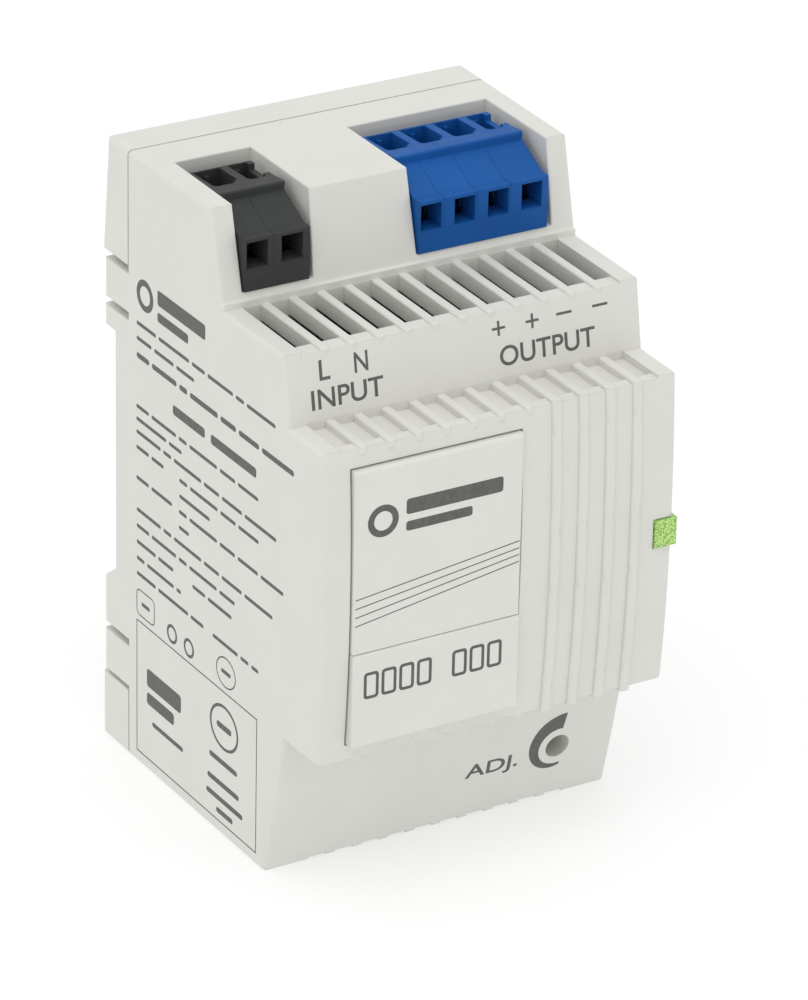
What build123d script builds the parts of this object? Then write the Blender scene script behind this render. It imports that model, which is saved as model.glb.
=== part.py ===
from build123d import *
import os
from math import cos, radians, sin

# Narrow DIN-rail power supply: plug-on hood, rail base, spring terminals and two circuit boards.
#
# Frame: +X is the width (right as seen from the front), the front face looks towards -Y, the rail
# side towards +Y and +Z is up.  The origin is the middle of the underside.  All sizes in millimetres.

os.makedirs("parts", exist_ok=True)

# ---------------------------------------------------------------- driving dimensions
WIDTH = 54.0
HEIGHT = 89.0
DEPTH = 59.0
HALF_REAR = WIDTH / 2  # half width at the rail side
HALF_FRONT = 26.25  # half width at the front: the side walls lean in
WALL = 2.0
SEAM_Y = 22.1  # where the hood ends and the rail base begins
SEAM_GAP = 0.25

RAIL_FACE_Y = 25.7  # the rail's front rests against this face
RAIL_LOW_Z = 26.8
RAIL_HIGH_Z = 62.0

SHELF_1_Z = 76.0  # vented shelf below the terminals
SHELF_2_Z = 66.6  # shelf above the main face
UNDERCUT_Z = 21.9  # underside of the main face
FACE_Y = -28.85  # foremost point of the arched main face
FACE_MID_Z = 45.0
PLATE_Y = -29.5  # foremost surface of the front plates

RIB_PITCH = 4.06
RIB_WIDTH = 1.3
RIB_NUMBERS = range(-5, 6)
FACE_RIB_NUMBERS = range(2, 6)
VENT_X = (-23.7, 23.5)
VENT_STEP = 0.35  # how far the bar in front of each row of slots lies below its ribs

TERMINAL_PITCH = 5.08
INPUT_POLES = [-21.25, -21.25 + TERMINAL_PITCH]
OUTPUT_POLES = [4.43 + TERMINAL_PITCH * i for i in range(4)]
INPUT_BLOCK_X = (-23.1, -13.6)
OUTPUT_BLOCK_X = (2.7, 22.15)
INPUT_POCKET_X = (-23.3, -12.1)  # at the top; the walls lean in towards the floor
INPUT_POCKET_FLOOR_X = (-23.25, -12.9)
OUTPUT_POCKET_X = (2.4, 23.55)
OUTPUT_POCKET_FLOOR_X = (2.55, 23.05)
POCKET_Y = 16.2
POCKET_FLOOR_Z = 77.7
BLOCK_FRONT_Y = -2.25
BLOCK_REAR_Y = 13.7

BOARD_T = 1.6
TERMINAL_BOARD_Z = 72.2
MAIN_BOARD_X = 22.4  # component face of the converter board, on the right
FILTER_BOARD_X = -22.4  # component face of the mains filter board, on the left
BOARD_REAR_Y = 19.5

ADJUST_X = 17.5
ADJUST_Z = 8.4
ADJUST_R = 1.8

LIGHT_PIPE_X = (23.4, 26.7)
LIGHT_PIPE_Z = (42.15, 46.1)

FOOT_HALF = 7.0
FOOT_Y = (25.4, 28.9)


def half_width(y):
    """Half of the housing's width at depth y."""
    return HALF_REAR - (HALF_REAR - HALF_FRONT) * (DEPTH / 2 - y) / DEPTH


# ---------------------------------------------------------------- small helpers
def block(x, y, z, mode=Mode.ADD):
    """A box between three (low, high) pairs."""
    with Locations(((x[0] + x[1]) / 2, (y[0] + y[1]) / 2, (z[0] + z[1]) / 2)):
        Box(x[1] - x[0], y[1] - y[0], z[1] - z[0], mode=mode)


def rod(start, direction, radius, length, mode=Mode.ADD):
    """A round bar from a start point along a direction."""
    with Locations(Plane(origin=start, z_dir=direction)):
        Cylinder(radius, length, align=(Align.CENTER, Align.CENTER, Align.MIN), mode=mode)


def side_slab(points, x, mode=Mode.ADD):
    """An outline in the side view, filled between two values of x."""
    with BuildSketch(Plane.YZ.offset(x[0])) as side:
        with BuildLine():
            Polyline(*points, close=True)
        make_face()
    extrude(side.sketch, amount=x[1] - x[0], mode=mode)


def plan_slab(points, z, mode=Mode.ADD):
    """An outline in the plan view, filled between two values of z."""
    with BuildSketch(Plane.XY.offset(z[0])) as plan:
        with BuildLine():
            Polyline(*points, close=True)
        make_face()
    extrude(plan.sketch, amount=z[1] - z[0], mode=mode)


def corners_at(sketch, points):
    """The vertices of a side-view sketch that lie at the given (y, z) points."""
    return [v for v in sketch.vertices() for p in points if abs(v.Y - p[0]) + abs(v.Z - p[1]) < 0.02]


def front_edges(part, axis):
    """The edges of a part's foremost face that run along an axis."""
    return part.faces().sort_by(Axis.Y)[0].edges().filter_by(axis)


def plan_wedge(inset):
    """The tapering plan outline of the housing, moved in by a wall thickness."""
    front, rear = -DEPTH, DEPTH
    return [
        (-half_width(rear) + inset, rear),
        (-half_width(front) + inset, front),
        (half_width(front) - inset, front),
        (half_width(rear) - inset, rear),
    ]


# ---------------------------------------------------------------- housing shape
TOP_REAR = (27.8, HEIGHT)
SHOULDER = (29.3, 72.8)
WAIST_TOP = (28.75, 71.6)
WAIST_LOW = (29.1, 10.4)
HEEL = (DEPTH / 2, 9.7)
BOTTOM_REAR = (DEPTH / 2, 0.0)
TOP_FRONT = (0.8, HEIGHT)
LEDGE_IN = (-2.2, 77.0)
LEDGE_OUT = (-2.75, 76.8)
SHELF_1_IN = (-2.8, SHELF_1_Z)
SHELF_1_OUT = (-18.1, SHELF_1_Z)
SHELF_2_IN = (-19.8, SHELF_2_Z)
SHELF_2_OUT = (-28.1, SHELF_2_Z)
FACE_LOW = (-27.75, UNDERCUT_Z)
UNDERCUT_IN = (-19.3, UNDERCUT_Z)
CHIN_MID = (-17.3, 11.5)
CHIN_LOW = (-14.5, 0.0)
FACE_MID = (FACE_Y, FACE_MID_Z)

with BuildSketch(Plane.YZ) as housing_outline:
    with BuildLine():
        Polyline(CHIN_LOW, BOTTOM_REAR, HEEL, WAIST_LOW, WAIST_TOP, SHOULDER, TOP_REAR, TOP_FRONT)
        Polyline(TOP_FRONT, LEDGE_IN, LEDGE_OUT, SHELF_1_IN, SHELF_1_OUT, SHELF_2_IN, SHELF_2_OUT)
        ThreePointArc(SHELF_2_OUT, FACE_MID, FACE_LOW)
        Line(FACE_LOW, UNDERCUT_IN)
        ThreePointArc(UNDERCUT_IN, CHIN_MID, CHIN_LOW)
    make_face()
    rounded = [TOP_FRONT, SHELF_1_OUT, SHELF_2_OUT, FACE_LOW, CHIN_LOW, TOP_REAR, SHOULDER, BOTTOM_REAR]
    fillet(corners_at(housing_outline.sketch, rounded), radius=0.75)

with BuildPart() as housing_blank:
    extrude(housing_outline.sketch, amount=WIDTH, both=True)
    plan_slab(plan_wedge(0), (-1, HEIGHT + 1), mode=Mode.INTERSECT)
    side_faces = housing_blank.faces().filter_by(lambda f: abs(f.normal_at().X) > 0.9)
    fillet(side_faces.edges(), radius=0.6)

# The space inside the hood, open towards the rail side.
with BuildPart() as hood_cavity:
    with BuildSketch(Plane.YZ) as cavity_outline:
        with BuildLine():
            Polyline((-12.8, WALL), (40, WALL), (40, HEIGHT - WALL), (2.3, HEIGHT - WALL))
            Polyline((2.3, HEIGHT - WALL), (-0.7, 76.0), (-0.9, 73.4), (-16.5, 73.4), (-18.2, 64.2))
            Polyline((-18.2, 64.2), (-25.9, 64.2))
            ThreePointArc((-25.9, 64.2), (-26.5, FACE_MID_Z), (-25.5, 24.2))
            Line((-25.5, 24.2), (-17.1, 24.2))
            ThreePointArc((-17.1, 24.2), (-15.2, 11.8), (-12.8, WALL))
        make_face()
    extrude(cavity_outline.sketch, amount=WIDTH, both=True)
    plan_slab(plan_wedge(WALL), (0, HEIGHT), mode=Mode.INTERSECT)
    for pocket in (INPUT_POCKET_X, OUTPUT_POCKET_X):
        pocket_walls = (pocket[0] - 3.0, pocket[1] + 1.6)
        if pocket is OUTPUT_POCKET_X:
            pocket_walls = (pocket[0] - 1.6, pocket[1] + 3.0)
        block(pocket_walls, (-9, POCKET_Y + 1.6), (POCKET_FLOOR_Z - 1.8, HEIGHT), mode=Mode.SUBTRACT)

# ---------------------------------------------------------------- hood
# Side view of the hood: everything in front of the seam, and behind it the two side walls, cut into
# a latch tongue, an upper wing, the rail notch, a lower wing and a second latch tongue.
WING_TIPS = [(28.6, 71.6), (28.6, 66.1), (28.8, 64.9), (28.8, RAIL_HIGH_Z), (29.0, 24.3), (29.0, 17.6)]
WING_TIPS += [(28.9, 16.5), (28.9, 10.4)]
HOOD_SIDE = [
    (-40, -5),
    (SEAM_Y, -5),
    (SEAM_Y, 10.4),
    (28.9, 10.4),
    (28.9, 16.5),
    (SEAM_Y, 16.5),
    (SEAM_Y, 17.6),
    (29.0, 17.6),
    (29.0, 24.3),
    (RAIL_FACE_Y, RAIL_LOW_Z),
    (RAIL_FACE_Y, RAIL_HIGH_Z),
    (28.8, RAIL_HIGH_Z),
    (28.8, 64.9),
    (SEAM_Y, 64.9),
    (SEAM_Y, 66.1),
    (28.6, 66.1),
    (28.6, 71.6),
    (SEAM_Y, 71.6),
    (SEAM_Y, 95),
    (-40, 95),
]
PLATE_RECESS_Y = -27.45
PLATE_X = (-22.0, 2.8)
PLATE_Z = (24.4, 63.5)
PLATE_SPLIT_Z = 37.7
PLATE_GAP = 0.25
PLATE_PEGS = [(-17.5, 57.0), (-3.0, 44.0), (-17.5, 31.0), (-3.0, 31.0)]


def vent_rib(number, y, z, hanging=False):
    """A bar between two vent slots, with a rounded front end and rounded free edges."""
    with BuildPart() as bar:
        with BuildSketch(Plane.XY.offset(z[0])) as plan:
            with Locations((number * RIB_PITCH, (y[0] + y[1]) / 2)):
                Rectangle(RIB_WIDTH, y[1] - y[0])
            fillet(plan.vertices().group_by(Axis.Y)[0], radius=0.45)
        extrude(plan.sketch, amount=z[1] - z[0])
        free_face = bar.faces().sort_by(Axis.Z)[0 if hanging else -1]
        fillet(free_face.edges().filter_by(lambda e: e.center().Y < y[1] - 0.01), radius=0.28)
    return bar.part


SLOTS_1_Y = (-15.7, -2.85)
SLOTS_2_Y = (-26.4, -19.75)
SLOTS_LOW_Y = (-10.5, 12.0)
SHELF_1_RIBS = [vent_rib(n, (-18.3, -1.8), (73.7, SHELF_1_Z)) for n in RIB_NUMBERS]
SHELF_2_RIBS = [vent_rib(n, (-28.3, -19.0), (SHELF_2_Z - 1.2, SHELF_2_Z)) for n in RIB_NUMBERS]
UNDERCUT_RIBS = [vent_rib(n, (-27.85, -25.0), (UNDERCUT_Z - 0.35, 22.9), True) for n in RIB_NUMBERS]


def pocket_block(top_x, floor_x):
    """The space of a terminal pocket, a little narrower at its floor."""
    with BuildPart() as space:
        with BuildSketch(Plane.XZ.offset(9)) as front_view:
            with BuildLine():
                Polyline(
                    (floor_x[0], POCKET_FLOOR_Z),
                    (floor_x[1], POCKET_FLOOR_Z),
                    (top_x[1], HEIGHT + 0.01),
                    (top_x[0], HEIGHT + 0.01),
                    close=True,
                )
            make_face()
        extrude(front_view.sketch, amount=-9 - POCKET_Y)
    return space.part


POCKETS = [
    pocket_block(INPUT_POCKET_X, INPUT_POCKET_FLOOR_X),
    pocket_block(OUTPUT_POCKET_X, OUTPUT_POCKET_FLOOR_X),
]

with BuildPart() as front_cover:
    add(housing_blank.part)
    with BuildSketch(Plane.YZ) as hood_side:
        with BuildLine():
            Polyline(*HOOD_SIDE, close=True)
        make_face()
        fillet(corners_at(hood_side.sketch, WING_TIPS), radius=0.6)
    extrude(hood_side.sketch, amount=WIDTH, both=True, mode=Mode.INTERSECT)
    add(hood_cavity.part, mode=Mode.SUBTRACT)
    # pockets for the terminals, open at the top and at the front, with softened rims
    for pocket in POCKETS:
        add(pocket, mode=Mode.SUBTRACT)
    rims = front_cover.edges().filter_by(lambda e: -5 < e.center().Y < POCKET_Y + 0.1)
    rims = rims.filter_by(lambda e: abs(e.center().X) < 24 and e.center().Z > POCKET_FLOOR_Z + 1)
    top_rims = rims.filter_by(lambda e: abs(e.center().Z - HEIGHT) < 0.01)
    slope_rims = rims.filter_by(lambda e: e.center().Y < 1 and abs(e.tangent_at(0.5).Z) > 0.5)
    fillet(top_rims + slope_rims, radius=0.22)
    for body in (INPUT_BLOCK_X, OUTPUT_BLOCK_X):
        well = (body[0] - 0.15, body[1] + 0.15)
        block(well, (-0.05, BLOCK_REAR_Y + 0.15), (70, POCKET_FLOOR_Z + 1), mode=Mode.SUBTRACT)
    # first shelf: a through opening and, in front of it, a bar a little lower than the ribs
    block(VENT_X, SLOTS_1_Y, (70, SHELF_1_Z + 0.5), mode=Mode.SUBTRACT)
    block(VENT_X, (-19.5, -15.0), (SHELF_1_Z - VENT_STEP, SHELF_1_Z + 1), mode=Mode.SUBTRACT)
    # second shelf: a blind recess and a lower bar in front of it
    block(VENT_X, SLOTS_2_Y, (SHELF_2_Z - 1.0, SHELF_2_Z + 0.5), mode=Mode.SUBTRACT)
    block(VENT_X, (-30.0, -26.0), (SHELF_2_Z - VENT_STEP, SHELF_2_Z + 0.5), mode=Mode.SUBTRACT)
    for ribs in (SHELF_1_RIBS, SHELF_2_RIBS, UNDERCUT_RIBS):
        for rib in ribs:
            add(rib)
    # underside: through slots, and shallow grooves that run on to the chin
    for number in list(RIB_NUMBERS)[:-1]:
        slot_x = (number * RIB_PITCH + RIB_WIDTH / 2, (number + 1) * RIB_PITCH - RIB_WIDTH / 2)
        block(slot_x, SLOTS_LOW_Y, (-1, WALL + 1), mode=Mode.SUBTRACT)
        block(slot_x, (-16.5, -10.0), (-1, VENT_STEP), mode=Mode.SUBTRACT)
    # recess for the two front plates, and the holes for their pegs
    recess_x = (PLATE_X[0] - PLATE_GAP, PLATE_X[1] + PLATE_GAP)
    recess_z = (PLATE_Z[0] - PLATE_GAP, PLATE_Z[1] + PLATE_GAP)
    block(recess_x, (-40, PLATE_RECESS_Y), recess_z, mode=Mode.SUBTRACT)
    for x, z in PLATE_PEGS:
        rod((x, -30, z), (0, 1, 0), 1.25, 6, mode=Mode.SUBTRACT)
    # corner notch for the light pipe
    notch_x = LIGHT_PIPE_X[0] - 0.15
    notch_z = (LIGHT_PIPE_Z[0] - 0.15, LIGHT_PIPE_Z[1] + 0.15)
    block((notch_x, 30), (-32, -26.8), notch_z, mode=Mode.SUBTRACT)
    block((notch_x, 24.3), (-28, -25.6), notch_z, mode=Mode.SUBTRACT)
    # guide tube for the adjusting screwdriver, with a small lead-in
    rod((ADJUST_X, -15.0, ADJUST_Z), (0, 1, 0), ADJUST_R + 1.1, 3.7)
    rod((ADJUST_X, -25.0, ADJUST_Z), (0, 1, 0), ADJUST_R, 15, mode=Mode.SUBTRACT)

FACE_RIB_WIDTH = 1.5
FACE_RIB_PROUD = 0.5
with BuildPart() as face_rib:
    with BuildSketch(Plane.YZ) as rib_side:
        with BuildLine():
            top = (SHELF_2_OUT[0] - FACE_RIB_PROUD + 0.1, SHELF_2_Z)
            low = (FACE_LOW[0] - FACE_RIB_PROUD, UNDERCUT_Z - 0.35)
            ThreePointArc(top, (FACE_Y - FACE_RIB_PROUD, FACE_MID_Z), low)
            Polyline(low, (low[0] + 1.4, low[1]), (-28.0, FACE_MID_Z), (top[0] + 1.4, top[1]), top)
        make_face()
        fillet(corners_at(rib_side.sketch, [top, low]), radius=0.5)
    extrude(rib_side.sketch, amount=FACE_RIB_WIDTH / 2, both=True)
    long_edges = face_rib.faces().sort_by(Axis.Y)[0].edges().filter_by(lambda e: e.length > 10)
    fillet(long_edges, radius=0.4)

with BuildPart() as ribbed_cover:
    add(front_cover.part)
    for number in FACE_RIB_NUMBERS:
        add(face_rib.part.moved(Location((number * RIB_PITCH, 0, 0))))
front_cover = ribbed_cover

# ---------------------------------------------------------------- rail base
BASE_HALF = 24.75  # between the hood's side walls
CHANNEL_Y = 25.2
with BuildPart() as rear_base:
    add(housing_blank.part)
    behind_seam = [(SEAM_Y + SEAM_GAP, -5), (40, -5), (40, 95), (SEAM_Y + SEAM_GAP, 95)]
    side_slab(behind_seam, (-40, 40), Mode.INTERSECT)
    for side in (-1, 1):
        slot_x = sorted((side * BASE_HALF, side * 40))
        block(slot_x, (20, 40), (HEEL[1], SHOULDER[1]), mode=Mode.SUBTRACT)
    rail_notch = [(RAIL_FACE_Y, RAIL_LOW_Z), (RAIL_FACE_Y, RAIL_HIGH_Z), (40, RAIL_HIGH_Z), (40, 15.65)]
    side_slab(rail_notch, (-40, 40), Mode.SUBTRACT)
    # hollow behind the boards
    block((-22.8, 22.8), (20, 23.7), (WALL, HEIGHT - WALL), mode=Mode.SUBTRACT)
    block((-22.8, 22.8), (20, 25.8), (64.0, HEIGHT - WALL), mode=Mode.SUBTRACT)
    for side in (-1, 1):
        chamber_x = sorted((side * 10.4, side * 22.8))
        side_slab([(20, WALL), (27, WALL), (27, 23.6), (23.7, 24.6), (20, 24.6)], chamber_x, Mode.SUBTRACT)
    # channel for the sliding foot, with a groove in each side and a spring seat in the middle
    block((-FOOT_HALF - 0.2, FOOT_HALF + 0.2), (CHANNEL_Y, 40), (-1, 30), mode=Mode.SUBTRACT)
    block((-FOOT_HALF - 1.5, FOOT_HALF + 1.5), (25.9, 27.3), (-1, 22.0), mode=Mode.SUBTRACT)
    block((-2.2, 2.2), (CHANNEL_Y - 0.5, 28.6), (5.6, 7.0))
    # two fixed hooks that go behind the rail's upper lip
    for x in (-15, 15):
        hook = [(26.85, 65.0), (26.85, 60.9), (27.4, 60.3), (28.6, 60.3), (28.6, 65.0)]
        side_slab(hook, (x - 4, x + 4))
    # rim that enters the hood
    rim_half = 24.6
    block((-rim_half, rim_half), (20.6, SEAM_Y + 0.5), (2.15, HEIGHT - 2.15))
    block((-rim_half + 1.3, rim_half - 1.3), (20, SEAM_Y + 0.9), (3.45, HEIGHT - 3.45), mode=Mode.SUBTRACT)
    # ribs that hold the rear edges of the two boards
    for side in (-1, 1):
        guide_x = sorted((side * 21.0, side * 22.2))
        block(guide_x, (18.6, 27.2), (8, 20))
        block(guide_x, (18.6, 24.0), (30, 42))
        block(guide_x, (18.6, 24.0), (50, 60))

with BuildPart() as din_foot:
    block((-FOOT_HALF, FOOT_HALF), FOOT_Y, (0.3, 26.4))
    nose = [(26.95, 26.0), (26.95, 28.6), (27.9, 28.6), (FOOT_Y[1], 27.2), (FOOT_Y[1], 26.0)]
    side_slab(nose, (-FOOT_HALF, FOOT_HALF))
    block((-FOOT_HALF - 1.3, FOOT_HALF + 1.3), (26.1, 27.1), (1.5, 21.6))
    block((-2.5, 2.5), (20, 40), (5.2, 20.0), mode=Mode.SUBTRACT)
    block((-2.6, 2.6), (20, 40), (1.6, 3.4), mode=Mode.SUBTRACT)

SPRING_TURNS = 8
SPRING_R = 1.45
SPRING_WIRE_R = 0.22
with BuildPart() as foot_spring:
    with BuildLine(Plane(origin=(0, 27.15, 7.25))) as spring_line:
        Helix(pitch=12.5 / SPRING_TURNS, height=12.5, radius=SPRING_R)
    with BuildSketch(Plane(origin=spring_line.line @ 0, z_dir=spring_line.line % 0)):
        Circle(SPRING_WIRE_R)
    sweep(path=spring_line.line, is_frenet=True)

# ---------------------------------------------------------------- front plates and light pipe
with BuildPart() as label_plate:
    block(PLATE_X, (-29.25, PLATE_RECESS_Y - 0.05), (PLATE_SPLIT_Z, PLATE_Z[1]))
    chamfer(front_edges(label_plate, Axis.X).sort_by(Axis.Z)[-1], length=0.4)
    chamfer(front_edges(label_plate, Axis.Z), length=0.2)
    for x, z in PLATE_PEGS[:2]:
        rod((x, PLATE_RECESS_Y - 0.5, z), (0, 1, 0), 1.15, 2.4)

with BuildPart() as marker_plate:
    block(PLATE_X, (PLATE_Y, PLATE_RECESS_Y - 0.05), (PLATE_Z[0], PLATE_SPLIT_Z - 0.1))
    chamfer(front_edges(marker_plate, Axis.X).sort_by(Axis.Z)[-1], length=0.3)
    chamfer(front_edges(marker_plate, Axis.Z), length=0.2)
    for x, z in PLATE_PEGS[2:]:
        rod((x, PLATE_RECESS_Y - 0.5, z), (0, 1, 0), 1.15, 2.4)

with BuildPart() as led_light_pipe:
    block(LIGHT_PIPE_X, (-29.35, -26.95), LIGHT_PIPE_Z)
    chamfer(led_light_pipe.faces().sort_by(Axis.Y)[0].edges(), length=0.2)
    block((LIGHT_PIPE_X[0], 24.15), (-27.2, -24.0), (42.6, 45.6))
    block((19.6, 24.15), (-25.6, -23.6), (42.9, 45.3))
    block((19.6, 22.0), (-24.0, -21.0), (42.9, 45.3))

# ---------------------------------------------------------------- terminals
BLOCK_SIDE = [
    (0.1, TERMINAL_BOARD_Z + BOARD_T),
    (0.1, POCKET_FLOOR_Z + 0.1),
    (BLOCK_FRONT_Y, POCKET_FLOOR_Z + 0.1),
    (BLOCK_FRONT_Y, 85.15),
    (-0.6, 85.1),
    (4.55, 87.65),
    (4.4, 88.9),
    (7.3, 88.6),
    (BLOCK_REAR_Y, 88.3),
    (BLOCK_REAR_Y, TERMINAL_BOARD_Z + BOARD_T),
]
SEAM_PROUD = 0.04
BLOCK_SIDE_PROUD = [
    (BLOCK_FRONT_Y - SEAM_PROUD, 80.9),
    (BLOCK_FRONT_Y - SEAM_PROUD, 85.15 + SEAM_PROUD),
    (-0.6, 85.1 + SEAM_PROUD),
    (4.55, 87.65 + SEAM_PROUD),
    (4.55, 87.4),
    (-0.6, 84.9),
    (-2.0, 84.9),
    (-2.0, 80.9),
]
WIRE_HALF = 1.55
WIRE_Z = (80.95, 84.55)
WELL_LEFT = 0.98  # the wells reach further to the right of their pole than to the left
WELL_RIGHT = 2.9
WELL_Y = (7.4, 13.2)
WELL_FLOOR_Z = 84.3
CHAMBER_Y = (0.8, 12.1)
CHAMBER_Z = (79.0, 83.4)
STEP = 0.45


def well_outline(x, stepped):
    """Plan of a screwdriver well: rounded front corners, or two steps in the right one."""
    (x0, x1), (y0, y1) = x, WELL_Y
    left = [(x0, y1), (x0, y0 + 0.6), (x0 + 0.2, y0 + 0.2), (x0 + 0.6, y0)]
    if stepped:
        right = [(x1 - 2 * STEP, y0), (x1 - 2 * STEP, y0 + STEP), (x1 - STEP, y0 + STEP)]
        right += [(x1 - STEP, y0 + 2 * STEP), (x1, y0 + 2 * STEP)]
    else:
        right = [(x1 - 0.7, y0), (x1 - 0.2, y0 + 0.2), (x1, y0 + 0.7)]
    return left + right + [(x1, y1)]


def terminal_housing(span, poles, seams):
    """A row of spring-clamp terminals: wire openings in front, screwdriver wells on top."""
    with BuildPart() as housing:
        side_slab(BLOCK_SIDE, span)
        long_edges = housing.edges().filter_by(Axis.X).filter_by(lambda e: e.center().Z > 84.5)
        fillet(long_edges.filter_by(lambda e: e.center().Y < -2 or e.center().Z > 88.2), radius=0.25)
        for pole in poles:
            wire = (pole - WIRE_HALF, pole + WIRE_HALF)
            block(wire, (-5, CHAMBER_Y[0] + 1), WIRE_Z, mode=Mode.SUBTRACT)
            block((pole - WIRE_HALF, pole + 2.0), CHAMBER_Y, CHAMBER_Z, mode=Mode.SUBTRACT)
            block(wire, (CHAMBER_Y[0], 6.0), (CHAMBER_Z[1] - 0.5, WIRE_Z[1]), mode=Mode.SUBTRACT)
            # the well, a narrow way down to the clamp, and the stop and rib at its back
            well_x = (pole - WELL_LEFT, min(pole + WELL_RIGHT, span[1] - 0.85))
            stepped = pole is not poles[-1]
            plan_slab(well_outline(well_x, stepped), (WELL_FLOOR_Z, WELL_FLOOR_Z + 10), mode=Mode.SUBTRACT)
            way_down = (CHAMBER_Z[1] - 0.5, WELL_FLOOR_Z + 1)
            block((pole - 0.8, pole + 1.2), (8.2, 11.2), way_down, mode=Mode.SUBTRACT)
            middle = (well_x[0] + well_x[1]) / 2
            block((middle - 0.35, middle + 0.35), (WELL_Y[1] - 0.4, WELL_Y[1] + 0.1), (WELL_FLOOR_Z, 87.6))
            with Locations((middle, WELL_Y[1] - 0.9, WELL_FLOOR_Z)):
                Sphere(0.95)
            # slot for the solder pin
            pin_slot_z = (70, CHAMBER_Z[0] + 1)
            block((pole + 1.45, pole + 2.0), (6.0, 7.1), pin_slot_z, mode=Mode.SUBTRACT)
        # fine raised lines where the halves of the mould met
        for seam in seams:
            side_slab(BLOCK_SIDE_PROUD, (seam - 0.05, seam + 0.05))
        front_line = (BLOCK_FRONT_Y - SEAM_PROUD, BLOCK_FRONT_Y + 0.2)
        block(span, front_line, (80.82, 80.92))
        # lowered wall beside the last well
        block((span[1] - 0.86, span[1] + 1), (8.6, 12.4), (87.5, 90), mode=Mode.SUBTRACT)
    return housing


input_terminal_housing = terminal_housing(INPUT_BLOCK_X, INPUT_POLES, [-18.9])
output_terminal_housing = terminal_housing(OUTPUT_BLOCK_X, OUTPUT_POLES, [6.4, 11.4, 16.4])


def busbars(poles):
    """One current bar per pole: contact tab, side plate and solder pin from one strip."""
    with BuildPart() as bars:
        for pole in poles:
            block((pole + 1.5, pole + 1.95), (2.0, 9.5), (79.1, 83.3))
            block((pole - 1.45, pole + 1.95), (2.0, 5.0), (82.9, 83.3))
            block((pole + 1.5, pole + 1.95), (6.1, 7.0), (70.9, 79.5))
    return bars


input_busbars = busbars(INPUT_POLES)
output_busbars = busbars(OUTPUT_POLES)

CLAMP_PIVOT = (2.2, 80.0)
CLAMP_TIP = (9.4, 82.6)
CLAMP_T = 0.35


def clamp_spring(pole):
    """Leaf that presses the wire up against the contact tab; it turns about its rolled end."""
    reach_y, reach_z = CLAMP_TIP[0] - CLAMP_PIVOT[0], CLAMP_TIP[1] - CLAMP_PIVOT[1]
    length = (reach_y**2 + reach_z**2) ** 0.5
    across = (-reach_z / length * CLAMP_T / 2, reach_y / length * CLAMP_T / 2)
    leaf = [
        (CLAMP_PIVOT[0] - across[0], CLAMP_PIVOT[1] - across[1]),
        (CLAMP_TIP[0] - across[0], CLAMP_TIP[1] - across[1]),
        (CLAMP_TIP[0] + 0.9, CLAMP_TIP[1] - 0.35),
        (CLAMP_TIP[0] + 1.1, CLAMP_TIP[1] - 0.05),
        (CLAMP_TIP[0] + across[0], CLAMP_TIP[1] + across[1]),
        (CLAMP_PIVOT[0] + across[0], CLAMP_PIVOT[1] + across[1]),
    ]
    with BuildPart() as clamp:
        side_slab(leaf, (pole - 1.2, pole + 1.15))
        rod((pole - 1.2, *CLAMP_PIVOT), (1, 0, 0), 0.55, 2.35)
        rod((pole - 2, *CLAMP_PIVOT), (1, 0, 0), 0.25, 4, mode=Mode.SUBTRACT)
    return clamp


# ---------------------------------------------------------------- circuit boards
def pin_slots(poles):
    """Board openings for the terminals' solder pins."""
    for pole in poles:
        block((pole + 1.3, pole + 2.15), (5.9, 7.2), (60, 80), mode=Mode.SUBTRACT)


HEADER_Y = [2.0 + 2.54 * i for i in range(6)]
HEADER_X = {1: 19.9, -1: 17.6}  # distance of each row of link pins from the middle, by side
HEADER_LOW_Z = 69.2
PIN = 0.64

with BuildPart() as terminal_board:
    block((-24.2, 24.2), (-0.4, BOARD_REAR_Y - 1.5), (TERMINAL_BOARD_Z, TERMINAL_BOARD_Z + BOARD_T))
    pin_slots(INPUT_POLES + OUTPUT_POLES)
    for side in (-1, 1):
        for y in HEADER_Y:
            hole_x = sorted((side * (HEADER_X[side] - 0.1), side * (HEADER_X[side] + PIN + 0.1)))
            block(hole_x, (y - 0.1, y + PIN + 0.1), (60, 80), mode=Mode.SUBTRACT)

CONVERTER_SIDE = [
    (BOARD_REAR_Y, 3.4),
    (-11.4, 3.4),
    (-15.2, 24.8),
    (-19.0, 24.8),
    (-19.0, 63.4),
    (-15.4, 63.4),
    (-15.4, 71.0),
    (BOARD_REAR_Y, 71.0),
]
FILTER_SIDE = [(BOARD_REAR_Y, 3.4), (-11.4, 3.4), (-15.2, 24.8), (-15.2, 71.0), (BOARD_REAR_Y, 71.0)]


def upright_board(outline, x):
    """A board parallel to the side wall, with holes for its row of link pins."""
    with BuildPart() as board:
        side_slab(outline, x)
        for y in HEADER_Y:
            hole_z = (HEADER_LOW_Z - 0.1, HEADER_LOW_Z + PIN + 0.1)
            block((x[0] - 1, x[1] + 1), (y - 0.1, y + PIN + 0.1), hole_z, mode=Mode.SUBTRACT)
    return board


converter_board = upright_board(CONVERTER_SIDE, (MAIN_BOARD_X, MAIN_BOARD_X + BOARD_T))
filter_board = upright_board(FILTER_SIDE, (FILTER_BOARD_X - BOARD_T, FILTER_BOARD_X))


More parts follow.
